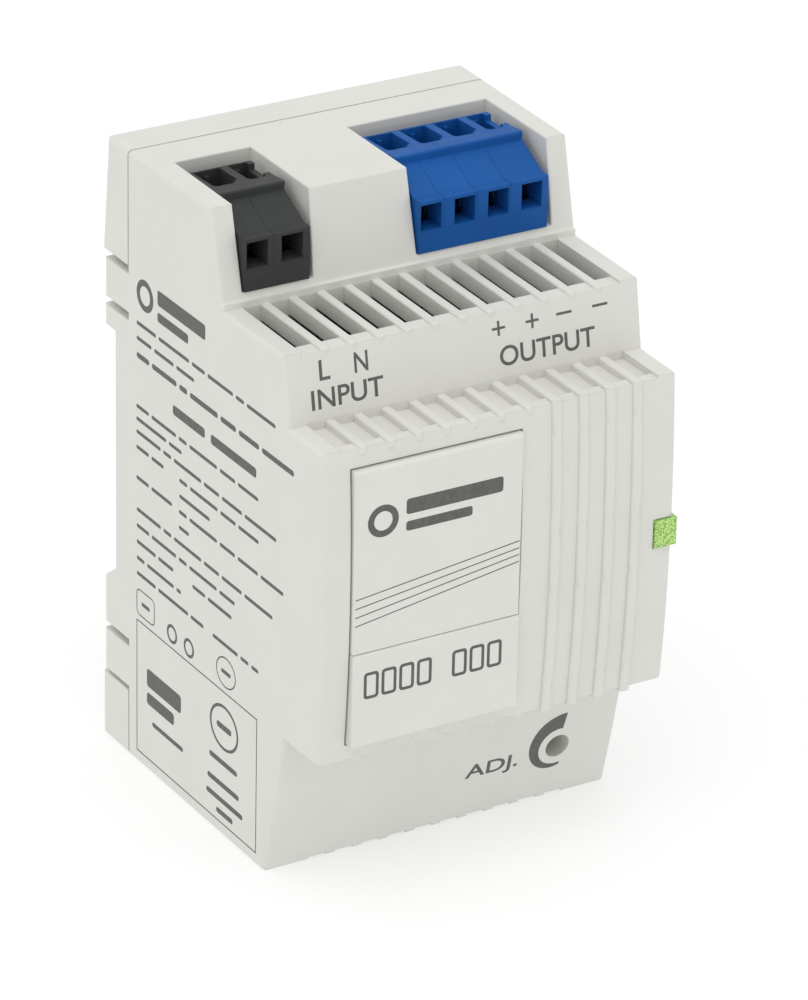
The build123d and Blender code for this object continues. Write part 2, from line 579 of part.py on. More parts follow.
def link_header(side):
    """Row of right-angle pins that ties an upright board to the terminal board."""
    near, far = HEADER_X[side], HEADER_X[side] + PIN
    board_top = TERMINAL_BOARD_Z + BOARD_T
    with BuildPart() as header:
        for y in HEADER_Y:
            block(sorted((side * near, side * far)), (y, y + PIN), (HEADER_LOW_Z, board_top))
            leg_x = sorted((side * near, side * (MAIN_BOARD_X + BOARD_T)))
            block(leg_x, (y, y + PIN), (HEADER_LOW_Z, HEADER_LOW_Z + PIN))
        strip_y = (HEADER_Y[0] - 1.0, HEADER_Y[-1] + PIN + 1.0)
        block(sorted((side * (near - 0.4), side * (far + 0.4))), strip_y, (70.2, TERMINAL_BOARD_Z))
    return header


converter_link = link_header(1)
filter_link = link_header(-1)

with BuildPart() as insulating_sheet:
    side_slab(CONVERTER_SIDE, (24.03, 24.13))

# ---------------------------------------------------------------- mains filter, on the left board
FX = FILTER_BOARD_X


def ended_tube(start, direction, radius, length, cap):
    """A round body with a slightly wider band at each end."""
    rod(start, direction, radius, length)
    rod(start, direction, radius + 0.25, cap)
    far = tuple(s + d * (length - cap) for s, d in zip(start, direction))
    rod(far, direction, radius + 0.25, cap)


with BuildPart() as input_fuse:
    ended_tube((FX + 4.5, 13.5, 47.0), (0, 0, 1), 2.4, 20.0, 5.0)

with BuildPart() as fuse_clips:
    for z in (48.0, 62.0):
        block((FX, FX + 4.5), (10.3, 16.7), (z, z + 3.0))
        rod((FX + 4.5, 13.5, z - 1), (0, 0, 1), 2.7, 5.0, mode=Mode.SUBTRACT)

with BuildPart() as surge_varistor:
    rod((FX + 6.2, 3.0, 62.5), (0, 1, 0), 5.2, 4.2)
    fillet(surge_varistor.edges().filter_by(GeomType.CIRCLE), radius=1.2)
    for z in (60.0, 65.0):
        rod((FX, 5.1, z), (1, 0, 0), 0.35, 3.0)

with BuildPart() as inrush_thermistor:
    rod((FX + 5.8, -6.4, 62.5), (0, 1, 0), 4.8, 4.0)
    fillet(inrush_thermistor.edges().filter_by(GeomType.CIRCLE), radius=0.8)
    for z in (60.0, 65.0):
        rod((FX, -4.4, z), (1, 0, 0), 0.35, 3.0)

with BuildPart() as x_capacitor:
    block((FX + 0.4, FX + 15.0), (-12.0, 6.0), (46.0, 54.0))
    fillet(x_capacitor.edges(), radius=0.5)
    for y in (-9.5, 3.5):
        block((FX, FX + 1.0), (y - 0.5, y + 0.5), (49.5, 50.5))

CHOKE = (FX + 2.2, -3.0, 33.0)
CHOKE_R = (4.8, 9.0)
CHOKE_T = 8.0
with BuildPart() as filter_choke_core:
    rod(CHOKE, (1, 0, 0), CHOKE_R[1], CHOKE_T)
    rod(CHOKE, (1, 0, 0), CHOKE_R[0], CHOKE_T, mode=Mode.SUBTRACT)
    fillet(filter_choke_core.edges(), radius=0.6)

CHOKE_TURN_ANGLES = [side + 14 * i for side in (0, 180) for i in range(-4, 5)]
with BuildPart() as filter_choke_windings:
    for angle in CHOKE_TURN_ANGLES:
        radial = (0, cos(radians(angle)), sin(radians(angle)))
        centre = (CHOKE[0] + CHOKE_T / 2, CHOKE[1] + 6.9 * radial[1], CHOKE[2] + 6.9 * radial[2])
        across = (0, -radial[2], radial[1])
        with BuildSketch(Plane(origin=centre, x_dir=radial, z_dir=across).offset(-0.4)):
            RectangleRounded(6.2, CHOKE_T + 1.8, 0.7)
            RectangleRounded(4.5, CHOKE_T + 0.1, 0.2, mode=Mode.SUBTRACT)
        extrude(amount=0.8)

with BuildPart() as bridge_rectifier:
    block((FX + 0.2, FX + 3.6), (8.0, 18.4), (26.0, 44.0))
    chamfer(bridge_rectifier.faces().sort_by(Axis.X)[-1].edges(), length=0.4)
    for z in (28.4, 32.8, 37.2, 41.6):
        block((FX, FX + 1.2), (7.0, 8.2), (z - 0.4, z + 0.4))

with BuildPart() as y_capacitor:
    rod((FX + 4.6, -9.0, 17.5), (0, 1, 0), 3.8, 3.4)
    fillet(y_capacitor.edges().filter_by(GeomType.CIRCLE), radius=1.0)
    for z in (15.2, 19.8):
        rod((FX, -7.3, z), (1, 0, 0), 0.3, 2.6)

# ---------------------------------------------------------------- converter, on the right board
BX = MAIN_BOARD_X


def standing_can(y, z, radius, length):
    """An electrolytic can lying out from the board, with its crimp groove and rubber foot."""
    with BuildPart() as can:
        rod((BX, y, z), (-1, 0, 0), radius, length)
        fillet(can.faces().sort_by(Axis.X)[0].edges(), radius=0.7)
        with BuildSketch(Plane(origin=(BX - 2.6, y, z), z_dir=(-1, 0, 0))):
            Circle(radius + 1)
            Circle(radius - 0.35, mode=Mode.SUBTRACT)
        extrude(amount=0.9, mode=Mode.SUBTRACT)
        for angle in (0, 60, 120):
            with Locations(Location((BX - length, y, z), (angle, 0, 0))):
                Box(0.4, 0.25, radius * 1.1, mode=Mode.SUBTRACT)
    return can


bulk_capacitor = standing_can(8.6, 14.0, 9.0, 32.0)
output_cans = [standing_can(y, z, 4.9, 20.0) for y, z in ((-9.3, 20.6), (-12.8, 31.9), (-12.6, 52.6))]

CORE_X = (-0.6, 19.4)
CORE_Y = (-10.4, 14.4)
CORE_Z = (38.0, 46.0)
CORE_MID_Y = (CORE_Y[0] + CORE_Y[1]) / 2
CORE_MID_Z = (CORE_Z[0] + CORE_Z[1]) / 2
with BuildPart() as transformer_core:
    block(CORE_X, CORE_Y, CORE_Z)
    for side in (-1, 1):
        window_y = sorted((CORE_MID_Y + side * 3.5, CORE_MID_Y + side * 8.6))
        block((CORE_X[0] + 4.0, CORE_X[1] - 4.0), window_y, (30, 60), mode=Mode.SUBTRACT)

with BuildPart() as transformer_bobbin:
    tube_x = (CORE_X[0] + 4.2, CORE_X[1] - 4.2)
    for x in ((tube_x[0], tube_x[0] + 0.9), (tube_x[1] - 0.9, tube_x[1])):
        block(x, (CORE_MID_Y - 8.4, CORE_MID_Y + 8.4), (CORE_MID_Z - 9.6, CORE_MID_Z + 9.6))
    block(tube_x, (CORE_MID_Y - 4.4, CORE_MID_Y + 4.4), (CORE_MID_Z - 4.9, CORE_MID_Z + 4.9))
    for side in (-1, 1):
        rail_z = sorted((CORE_MID_Z + side * 8.9, CORE_MID_Z + side * 12.6))
        block((tube_x[1] - 0.9, BX - 1.4), (CORE_MID_Y - 8.4, CORE_MID_Y + 8.4), rail_z)
    leg_y = (CORE_MID_Y - 3.6, CORE_MID_Y + 3.6)
    block((-10, 40), leg_y, (CORE_Z[0] - 0.1, CORE_Z[1] + 0.1), mode=Mode.SUBTRACT)

with BuildPart() as transformer_pins:
    for side in (-1, 1):
        for i in range(4):
            y = CORE_MID_Y - 6.0 + 4.0 * i
            rod((BX - 1.4, y, CORE_MID_Z + side * 11.0), (1, 0, 0), 0.4, 1.4)

with BuildPart() as transformer_winding:
    winding_x = tube_x[0] + 1.0
    with BuildSketch(Plane(origin=(winding_x, CORE_MID_Y, CORE_MID_Z), x_dir=(0, 1, 0), z_dir=(1, 0, 0))):
        RectangleRounded(16.2, 17.6, 3.0)
        Rectangle(9.0, 10.0, mode=Mode.SUBTRACT)
    extrude(amount=tube_x[1] - tube_x[0] - 2.0)


def power_package(tab_y_or_z, upright):
    """A three-legged power package bolted flat to a heat sink."""
    with BuildPart() as package:
        if upright:
            block((5.4, 21.0), (tab_y_or_z - 1.3, tab_y_or_z), (47.4, 57.4))
            block((11.8, 21.0), (tab_y_or_z - 4.4, tab_y_or_z), (47.4, 57.4))
            rod((8.4, 0, 52.4), (0, 1, 0), 1.8, 40, mode=Mode.SUBTRACT)
            for z in (49.86, 52.4, 54.94):
                block((21.0, BX), (tab_y_or_z - 3.0, tab_y_or_z - 2.4), (z - 0.4, z + 0.4))
        else:
            block((5.4, 21.0), (2.0, 12.0), (tab_y_or_z, tab_y_or_z + 1.3))
            block((11.8, 21.0), (2.0, 12.0), (tab_y_or_z, tab_y_or_z + 4.4))
            rod((8.4, 7.0, 50), (0, 0, 1), 1.8, 30, mode=Mode.SUBTRACT)
            for y in (4.46, 7.0, 9.54):
                block((21.0, BX), (y - 0.4, y + 0.4), (tab_y_or_z + 2.4, tab_y_or_z + 3.0))
    return package


PRIMARY_SINK_Y = 16.4
OUTPUT_SINK_Z = 60.8
switching_transistor = power_package(PRIMARY_SINK_Y, True)
output_diode = power_package(OUTPUT_SINK_Z, False)

with BuildPart() as primary_heat_sink:
    block((-2.0, BX - 0.2), (PRIMARY_SINK_Y, PRIMARY_SINK_Y + 2.0), (30.0, 58.2))
    rod((8.4, PRIMARY_SINK_Y - 1, 52.4), (0, 1, 0), 1.3, 4, mode=Mode.SUBTRACT)
    for z in (33.0, 55.0):
        block((BX - 0.3, BX), (PRIMARY_SINK_Y + 0.4, PRIMARY_SINK_Y + 1.6), (z - 1, z + 1))

with BuildPart() as output_heat_sink:
    block((0.0, BX - 0.2), (-4.5, 17.5), (OUTPUT_SINK_Z - 2.0, OUTPUT_SINK_Z))
    rod((8.4, 7.0, OUTPUT_SINK_Z - 3), (0, 0, 1), 1.3, 4, mode=Mode.SUBTRACT)
    for y in (-2.5, 15.5):
        block((BX - 0.3, BX), (y - 1, y + 1), (OUTPUT_SINK_Z - 1.6, OUTPUT_SINK_Z - 0.4))

with BuildPart() as heat_sink_screws:
    rod((8.4, PRIMARY_SINK_Y - 1.3 - 1.8, 52.4), (0, 1, 0), 2.6, 1.8)
    rod((8.4, PRIMARY_SINK_Y - 1.3, 52.4), (0, 1, 0), 1.25, 3.6)
    block((7.9, 8.9), (PRIMARY_SINK_Y - 4, PRIMARY_SINK_Y - 2.3), (49, 56), mode=Mode.SUBTRACT)
    rod((8.4, 7.0, OUTPUT_SINK_Z + 1.3), (0, 0, 1), 2.6, 1.8)
    rod((8.4, 7.0, OUTPUT_SINK_Z - 2.3), (0, 0, 1), 1.25, 3.6)
    block((7.9, 8.9), (4, 10), (OUTPUT_SINK_Z + 2.3, OUTPUT_SINK_Z + 4), mode=Mode.SUBTRACT)

OUTPUT_CHOKE = (-10.8, 64.6)
with BuildPart() as output_choke:
    rod((BX, OUTPUT_CHOKE[0], OUTPUT_CHOKE[1]), (-1, 0, 0), 4.4, 1.4)
    rod((BX - 1.4, OUTPUT_CHOKE[0], OUTPUT_CHOKE[1]), (-1, 0, 0), 3.9, 9.0)
    rod((BX - 10.4, OUTPUT_CHOKE[0], OUTPUT_CHOKE[1]), (-1, 0, 0), 4.4, 1.4)
    fillet(output_choke.edges().filter_by(GeomType.CIRCLE).group_by(Axis.X)[0], radius=0.3)


def small_package(size, y, z, legs):
    """A moulded circuit package with rows of legs, flat on the converter board."""
    height, wide, tall = size
    with BuildPart() as package:
        block((BX - height, BX - 0.2), (y - wide / 2, y + wide / 2), (z - tall / 2, z + tall / 2))
        chamfer(package.faces().sort_by(Axis.X)[0].edges(), length=0.25)
        for side in (-1, 1):
            for i in range(legs):
                leg_z = z + (i - (legs - 1) / 2) * tall / legs
                leg_y = sorted((y + side * (wide / 2 - 0.2), y + side * (wide / 2 + 0.7)))
                block((BX - 0.5, BX), leg_y, (leg_z - 0.2, leg_z + 0.2))
    return package


optocoupler = small_package((3.5, 6.2, 4.6), -2.6, 26.2, 2)
controller_chip = small_package((1.6, 3.9, 5.0), 12.5, 26.4, 4)

with BuildPart() as status_led:
    rod((20.8, -18.3, 44.1), (0, 1, 0), 1.5, 3.6)
    with Locations((20.8, -18.3, 44.1)):
        Sphere(1.5)
    rod((20.8, -15.3, 44.1), (0, 1, 0), 1.55, 0.8)
    for z in (43.2, 45.0):
        rod((20.8, -14.6, z), (1, 0, 0), 0.25, 1.6)

# ---------------------------------------------------------------- voltage trimmer
TRIMMER_Y = (-10.4, -5.6)
ROTOR_R = 1.6
with BuildPart() as trimmer_body:
    block((BX - 9.7, BX), TRIMMER_Y, (3.7, 13.1))
    fillet(trimmer_body.edges().filter_by(Axis.Y), radius=0.5)
    rod((ADJUST_X, TRIMMER_Y[0] - 1, ADJUST_Z), (0, 1, 0), ROTOR_R + 0.06, 3.2, mode=Mode.SUBTRACT)

with BuildPart() as trimmer_rotor:
    rod((ADJUST_X, TRIMMER_Y[0] - 0.6, ADJUST_Z), (0, 1, 0), ROTOR_R, 2.7)
    slot_x = (ADJUST_X - 0.3, ADJUST_X + 0.3)
    block(slot_x, (-20, TRIMMER_Y[0] + 0.1), (ADJUST_Z - 3, ADJUST_Z + 3), mode=Mode.SUBTRACT)

# ---------------------------------------------------------------- write every piece
pieces = {
    "front_cover": front_cover,
    "rear_base": rear_base,
    "din_foot": din_foot,
    "foot_spring": foot_spring,
    "label_plate": label_plate,
    "marker_plate": marker_plate,
    "led_light_pipe": led_light_pipe,
    "input_terminal_housing": input_terminal_housing,
    "output_terminal_housing": output_terminal_housing,
    "input_busbars": input_busbars,
    "output_busbars": output_busbars,
    "terminal_board": terminal_board,
    "converter_board": converter_board,
    "filter_board": filter_board,
    "converter_link": converter_link,
    "filter_link": filter_link,
    "insulating_sheet": insulating_sheet,
    "input_fuse": input_fuse,
    "fuse_clips": fuse_clips,
    "surge_varistor": surge_varistor,
    "inrush_thermistor": inrush_thermistor,
    "x_capacitor": x_capacitor,
    "filter_choke_core": filter_choke_core,
    "filter_choke_windings": filter_choke_windings,
    "bridge_rectifier": bridge_rectifier,
    "y_capacitor": y_capacitor,
    "bulk_capacitor": bulk_capacitor,
    "transformer_core": transformer_core,
    "transformer_bobbin": transformer_bobbin,
    "transformer_pins": transformer_pins,
    "transformer_winding": transformer_winding,
    "switching_transistor": switching_transistor,
    "primary_heat_sink": primary_heat_sink,
    "output_diode": output_diode,
    "output_heat_sink": output_heat_sink,
    "heat_sink_screws": heat_sink_screws,
    "output_choke": output_choke,
    "optocoupler": optocoupler,
    "controller_chip": controller_chip,
    "status_led": status_led,
    "trimmer_body": trimmer_body,
    "trimmer_rotor": trimmer_rotor,
}
pieces |= {f"input_clamp_{i}": clamp_spring(x) for i, x in enumerate(INPUT_POLES, start=1)}
pieces |= {f"output_clamp_{i}": clamp_spring(x) for i, x in enumerate(OUTPUT_POLES, start=1)}
pieces |= {f"output_capacitor_{i}": can for i, can in enumerate(output_cans, start=1)}

for name, piece in pieces.items():
    piece.part.label = name
    export_step(piece.part, f"parts/{name}.step")
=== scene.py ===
"""Studio picture of a DIN-rail power supply: finishes, markings, foot spring, stage, lights and camera.

Everything is in metres in the frame of the CAD model: +X to the right, the front towards -Y, +Z up.
Markings are laid out in millimetres on the face that carries them, and scaled when they are placed.
"""
from itertools import cycle
from math import cos, pi, radians, sin, sqrt

import bmesh
import bpy
from mathutils import Matrix, Vector


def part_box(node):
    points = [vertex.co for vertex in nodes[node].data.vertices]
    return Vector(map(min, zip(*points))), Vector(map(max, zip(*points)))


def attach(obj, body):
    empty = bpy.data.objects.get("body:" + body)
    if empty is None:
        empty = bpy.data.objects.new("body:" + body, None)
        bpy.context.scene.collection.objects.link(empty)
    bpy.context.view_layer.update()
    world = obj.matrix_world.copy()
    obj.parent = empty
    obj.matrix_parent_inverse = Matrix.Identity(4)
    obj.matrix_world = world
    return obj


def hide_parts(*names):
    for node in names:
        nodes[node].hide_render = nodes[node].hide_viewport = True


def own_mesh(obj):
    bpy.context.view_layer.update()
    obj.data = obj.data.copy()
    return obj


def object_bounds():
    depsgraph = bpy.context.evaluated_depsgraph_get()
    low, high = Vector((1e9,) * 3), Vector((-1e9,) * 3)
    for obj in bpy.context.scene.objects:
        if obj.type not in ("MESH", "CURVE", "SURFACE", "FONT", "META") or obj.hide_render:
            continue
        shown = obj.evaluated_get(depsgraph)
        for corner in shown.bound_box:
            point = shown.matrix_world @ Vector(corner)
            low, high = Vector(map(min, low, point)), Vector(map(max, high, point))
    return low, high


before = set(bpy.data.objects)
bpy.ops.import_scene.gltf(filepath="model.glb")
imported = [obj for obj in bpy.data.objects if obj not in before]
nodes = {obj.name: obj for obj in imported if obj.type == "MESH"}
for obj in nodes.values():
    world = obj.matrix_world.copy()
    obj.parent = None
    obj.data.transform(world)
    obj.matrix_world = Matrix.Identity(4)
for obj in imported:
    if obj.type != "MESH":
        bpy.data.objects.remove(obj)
cad_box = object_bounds()
scene = bpy.context.scene
MM = 0.001


# ---------------------------------------------------------------- building materials
def principled(name, colour, roughness, **values):
    """A material with one Principled shader, its constant values set on the shader's own sockets."""
    material = bpy.data.materials.new(name)
    material.use_nodes = True
    shader = material.node_tree.nodes["Principled BSDF"]
    shader.inputs["Base Color"].default_value = (*colour, 1)
    shader.inputs["Roughness"].default_value = roughness
    for socket, value in values.items():
        shader.inputs[socket.replace("_", " ")].default_value = value
    return material


def noise(material, grain, detail=2.0, stretch=(1, 1, 1)):
    """Noise in object space whose blobs are about one grain (in metres) across."""
    tree = material.node_tree
    place = tree.nodes.new("ShaderNodeTexCoord")
    mapping = tree.nodes.new("ShaderNodeMapping")
    mapping.inputs["Scale"].default_value = stretch
    texture = tree.nodes.new("ShaderNodeTexNoise")
    texture.inputs["Scale"].default_value = 1 / grain
    texture.inputs["Detail"].default_value = detail
    tree.links.new(place.outputs["Object"], mapping.inputs["Vector"])
    tree.links.new(mapping.outputs["Vector"], texture.inputs["Vector"])
    return texture


def add_bump(material, grain, depth, detail=2.0, stretch=(1, 1, 1)):
    """Surface texture: hills one grain across and about one depth high, on top of any bump already there."""
    tree = material.node_tree
    shader = tree.nodes["Principled BSDF"]
    bump = tree.nodes.new("ShaderNodeBump")
    bump.inputs["Distance"].default_value = depth
    tree.links.new(noise(material, grain, detail, stretch).outputs["Fac"], bump.inputs["Height"])
    if shader.inputs["Normal"].is_linked:
        below = shader.inputs["Normal"].links[0].from_socket
        tree.links.new(below, bump.inputs["Normal"])
    tree.links.new(bump.outputs["Normal"], shader.inputs["Normal"])


def round_edges(material, radius):
    """Makes the light run round the corners of a moulding, which are never quite sharp."""
    tree = material.node_tree
    corner = tree.nodes.new("ShaderNodeBevel")
    corner.samples = 4
    corner.inputs["Radius"].default_value = radius
    tree.links.new(corner.outputs["Normal"], tree.nodes["Principled BSDF"].inputs["Normal"])


def blend_stops(material, source, low, high):
    """A colour ramp between two (position, colour) stops, fed by a value."""
    ramp = material.node_tree.nodes.new("ShaderNodeValToRGB")
    for stop, (position, colour) in zip(ramp.color_ramp.elements, (low, high)):
        stop.position = position
        stop.color = (*colour, 1)
    material.node_tree.links.new(source, ramp.inputs["Fac"])
    return ramp.outputs["Color"]


def vary_colour(material, grain, low, high, spread=(0.3, 0.7), detail=2.0, stretch=(1, 1, 1)):
    """Drifts the base colour between two colours over patches one grain across."""
    source = noise(material, grain, detail, stretch).outputs["Fac"]
    colour = blend_stops(material, source, (spread[0], low), (spread[1], high))
    shader = material.node_tree.nodes["Principled BSDF"]
    material.node_tree.links.new(colour, shader.inputs["Base Color"])


def vary_roughness(material, grain, low, high, detail=2.0, stretch=(1, 1, 1)):
    """Drifts the roughness between two values over patches one grain across."""
    span = material.node_tree.nodes.new("ShaderNodeMapRange")
    span.inputs["From Min"].default_value = 0.3
    span.inputs["From Max"].default_value = 0.7
    span.inputs["To Min"].default_value = low
    span.inputs["To Max"].default_value = high
    links = material.node_tree.links
    links.new(noise(material, grain, detail, stretch).outputs["Fac"], span.inputs["Value"])
    links.new(span.outputs["Result"], material.node_tree.nodes["Principled BSDF"].inputs["Roughness"])


def shade(colour, factor):
    """A colour made lighter or darker."""
    return tuple(min(1.0, channel * factor) for channel in colour)


def moulded(name, colour, roughness=0.5, drift=0.04, grain=0.2 * MM, depth=0.004 * MM, **values):
    """Moulded plastic: an even colour with a faint drift and a fine spark-eroded surface."""
    material = principled(name, colour, roughness, **values)
    round_edges(material, 0.14 * MM)
    vary_colour(material, 6 * MM, shade(colour, 1 - drift), shade(colour, 1 + drift))
    vary_roughness(material, 1.5 * MM, roughness - 0.05, roughness + 0.06)
    add_bump(material, grain, depth)
    return material


def metal(name, colour, roughness, stretch=(1, 1, 1), depth=0.002 * MM):
    """Plated or sheared metal with a slightly uneven, streaky polish."""
    material = principled(name, colour, roughness, Metallic=1.0)
    vary_colour(material, 1.2 * MM, shade(colour, 0.88), shade(colour, 1.06), stretch=stretch)
    vary_roughness(material, 0.6 * MM, roughness * 0.75, roughness * 1.3, stretch=stretch)
    add_bump(material, 0.3 * MM, depth, stretch=stretch)
    return material


def dipped(name, colour):
    """Epoxy dip coating: glossy, thick and slightly lumpy."""
    material = principled(name, colour, 0.3, Coat_Weight=0.4, Coat_Roughness=0.15)
    vary_colour(material, 1.5 * MM, shade(colour, 0.85), shade(colour, 1.12))
    add_bump(material, 1.8 * MM, 0.06 * MM)
    return material


# ---------------------------------------------------------------- the object's materials
HOUSING_GREY = (0.690, 0.687, 0.647)
INK_GREY = (0.092, 0.092, 0.084)
DARK_GREY = (0.042, 0.045, 0.044)
OUTPUT_BLUE = (0.006, 0.090, 0.340)


def housing_plastic():
    """Light warm grey plastic with a fine eroded texture and a few faint flow marks."""
    material = principled("housing_plastic", HOUSING_GREY, 0.5, IOR=1.5)
    round_edges(material, 0.16 * MM)
    vary_colour(material, 9 * MM, shade(HOUSING_GREY, 0.985), shade(HOUSING_GREY, 1.012))
    vary_roughness(material, 2.5 * MM, 0.46, 0.56)
    add_bump(material, 0.16 * MM, 0.006 * MM, detail=3.0)
    add_bump(material, 14 * MM, 0.02 * MM, detail=0.0)
    return material


def plate_plastic():
    """The snap-in front plates: the same grey, a little smoother."""
    material = principled("plate_plastic", shade(HOUSING_GREY, 1.02), 0.42, IOR=1.5)
    round_edges(material, 0.12 * MM)
    vary_colour(material, 8 * MM, HOUSING_GREY, shade(HOUSING_GREY, 1.03))
    vary_roughness(material, 2 * MM, 0.38, 0.46)
    add_bump(material, 0.14 * MM, 0.003 * MM)
    return material


def light_pipe_plastic():
    """Clear green plastic with rough faces; their sparkle is painted into the base colour: bright grains of
    painted glint with dark specks of painted shade between them.
    """
    painted_speck_shade, painted_glint = (0.090, 0.340, 0.030), (0.620, 0.880, 0.270)
    material = principled("light_pipe_green", painted_glint, 0.3, Transmission_Weight=0.15, IOR=1.49)
    # painted light: the base colour jumps between painted glints and painted shade in fine grains, standing
    # in for the sparkle of the rough faces
    vary_colour(material, 0.22 * MM, painted_speck_shade, painted_glint, spread=(0.36, 0.56), detail=4.0)
    add_bump(material, 0.2 * MM, 0.05 * MM, detail=3.0)
    return material


def circuit_board():
    """Green solder mask with lighter copper areas showing through it."""
    mask, over_copper = (0.010, 0.090, 0.030), (0.030, 0.190, 0.060)
    material = principled("circuit_board", mask, 0.32, Coat_Weight=0.3, Coat_Roughness=0.2)
    tree = material.node_tree
    place = tree.nodes.new("ShaderNodeTexCoord")
    cells = tree.nodes.new("ShaderNodeTexVoronoi")
    cells.distance = "CHEBYCHEV"
    cells.feature = "DISTANCE_TO_EDGE"
    cells.inputs["Scale"].default_value = 1 / (3.5 * MM)
    tree.links.new(place.outputs["Object"], cells.inputs["Vector"])
    colour = blend_stops(material, cells.outputs["Distance"], (0.05, mask), (0.07, over_copper))
    tree.links.new(colour, tree.nodes["Principled BSDF"].inputs["Base Color"])
    add_bump(material, 0.4 * MM, 0.004 * MM)
    return material


def enamelled_wire():
    """Copper wire under clear enamel: fine parallel turns."""
    copper = (0.60, 0.235, 0.085)
    material = principled("enamelled_copper", copper, 0.28, Metallic=0.9, Coat_Weight=0.6)
    vary_colour(material, 0.8 * MM, shade(copper, 0.7), shade(copper, 1.1), stretch=(6, 1, 1))
    add_bump(material, 0.8 * MM, 0.03 * MM, stretch=(6, 1, 1))
    return material


def spring_steel():
    """Drawn spring wire and stamped leaves."""
    return metal("spring_steel", (0.56, 0.56, 0.57), 0.3)


def housing_ink():
    """Dark grey pad-printed ink, a little uneven."""
    material = principled("housing_ink", INK_GREY, 0.55)
    vary_colour(material, 0.5 * MM, shade(INK_GREY, 0.88), shade(INK_GREY, 1.2))
    add_bump(material, 0.12 * MM, 0.003 * MM)
    return material


def shrunk_sleeve():
    """Glossy dark film shrunk over the capacitor cans."""
    material = principled("can_sleeve", (0.012, 0.013, 0.030), 0.28, Coat_Weight=0.5)
    vary_colour(material, 4 * MM, (0.010, 0.011, 0.026), (0.016, 0.017, 0.038))
    add_bump(material, 2 * MM, 0.01 * MM)
    return material


FINISHES = {
    "housing": housing_plastic(),
    "foot": moulded("foot_plastic", (0.055, 0.056, 0.057), 0.48),
    "light_pipe": light_pipe_plastic(),
    "terminal_dark": moulded("terminal_dark", DARK_GREY, 0.55, drift=0.08, Specular_IOR_Level=0.2),
    "terminal_blue": moulded("terminal_blue", OUTPUT_BLUE, 0.55, drift=0.06, Specular_IOR_Level=0.2),
    "tinned_copper": metal("tinned_copper", (0.74, 0.73, 0.70), 0.25),
    "board": circuit_board(),
    "sheet": moulded("polyester_sheet", (0.75, 0.70, 0.52), 0.35),
    "fuse": moulded("fuse_ceramic", (0.74, 0.72, 0.66), 0.3),
    "steel": spring_steel(),
    "varistor": dipped("varistor_epoxy", (0.020, 0.090, 0.400)),
    "thermistor": dipped("thermistor_epoxy", (0.020, 0.075, 0.035)),
    "film_capacitor": moulded("film_capacitor_box", (0.62, 0.42, 0.05), 0.4),
    "ferrite": moulded("ferrite", (0.045, 0.045, 0.048), 0.6, drift=0.2, grain=0.4 * MM, depth=0.03 * MM),
    "copper": enamelled_wire(),
    "tape": moulded("winding_tape", (0.80, 0.56, 0.04), 0.3, grain=1.5 * MM, depth=0.04 * MM),
    "black_plastic": moulded("black_plastic", (0.018, 0.018, 0.019), 0.45),
    "ceramic_capacitor": dipped("ceramic_capacitor", (0.030, 0.180, 0.520)),
    "can_sleeve": shrunk_sleeve(),
    "aluminium": metal("sheared_aluminium", (0.66, 0.66, 0.68), 0.4, stretch=(1, 1, 8)),
    "led": moulded("led_epoxy", (0.25, 0.62, 0.10), 0.15),
    "trimmer": moulded("trimmer_body", (0.020, 0.080, 0.380), 0.4),
    "rotor": moulded("trimmer_rotor", (0.72, 0.71, 0.66), 0.45),
}
PLATE_FINISH = plate_plastic()
INK = housing_ink()


# ---------------------------------------------------------------- dressing the CAD pieces
def soften(node, width):
    """Rounds the sharp edges of a moulding in its mesh."""
    weld = node.modifiers.new("weld", "WELD")
    weld.merge_threshold = 0.002 * MM
    bevel = node.modifiers.new("round_edges", "BEVEL")
    bevel.width = width
    bevel.segments = 2
    bevel.limit_method = "ANGLE"
    bevel.angle_limit = radians(40)
    bevel.use_clamp_overlap = False
    normals = node.modifiers.new("even_normals", "WEIGHTED_NORMAL")
    normals.keep_sharp = False
    normals.weight = 100


EDGE_ROUNDING = {
    "label_plate": 0.08 * MM,
    "marker_plate": 0.08 * MM,
    "din_foot": 0.15 * MM,
}
for name, node in nodes.items():
    for slot in node.material_slots:
        slot.material = FINISHES[slot.material.name.split(".")[0]]
    if name in EDGE_ROUNDING:
        soften(node, EDGE_ROUNDING[name])
for name in ("label_plate", "marker_plate"):
    nodes[name].material_slots[0].material = PLATE_FINISH


# ---------------------------------------------------------------- faces that carry markings
INK_HEIGHT = 0.015  # of the ink above its face, in millimetres
INK_ROOT = 0.03  # how far it goes down into the face
REAR = cad_box[1].y / MM
HALF_REAR = cad_box[1].x / MM
SIDE_TAPER = 0.75 / 59  # each side wall leans in by this much per millimetre towards the front
LABEL_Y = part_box("label_plate")[0].y / MM
MARKER_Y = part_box("marker_plate")[0].y / MM
SHELF_FACE = ((-18.1, 76.0), (-19.8, 66.6))  # (y, z) at the top and the foot of the face below the vents


def left_side(u, v, rise):
    """The left wall, read from its left: u runs from rear to front, v is the height."""
    return Vector((SIDE_TAPER * (REAR + u) - HALF_REAR - rise, -u, v))


def shelf_face(u, v, rise):
    """The leaning face between the two vented shelves."""
    (top_y, top_z), (foot_y, foot_z) = SHELF_FACE
    y = foot_y + (v - foot_z) * (top_y - foot_y) / (top_z - foot_z)
    return Vector((u, y - rise, v))


def label_face(u, v, rise):
    """The front of the upper plate."""
    return Vector((u, LABEL_Y - rise, v))


def marker_face(u, v, rise):
    """The front of the lower plate."""
    return Vector((u, MARKER_Y - rise, v))


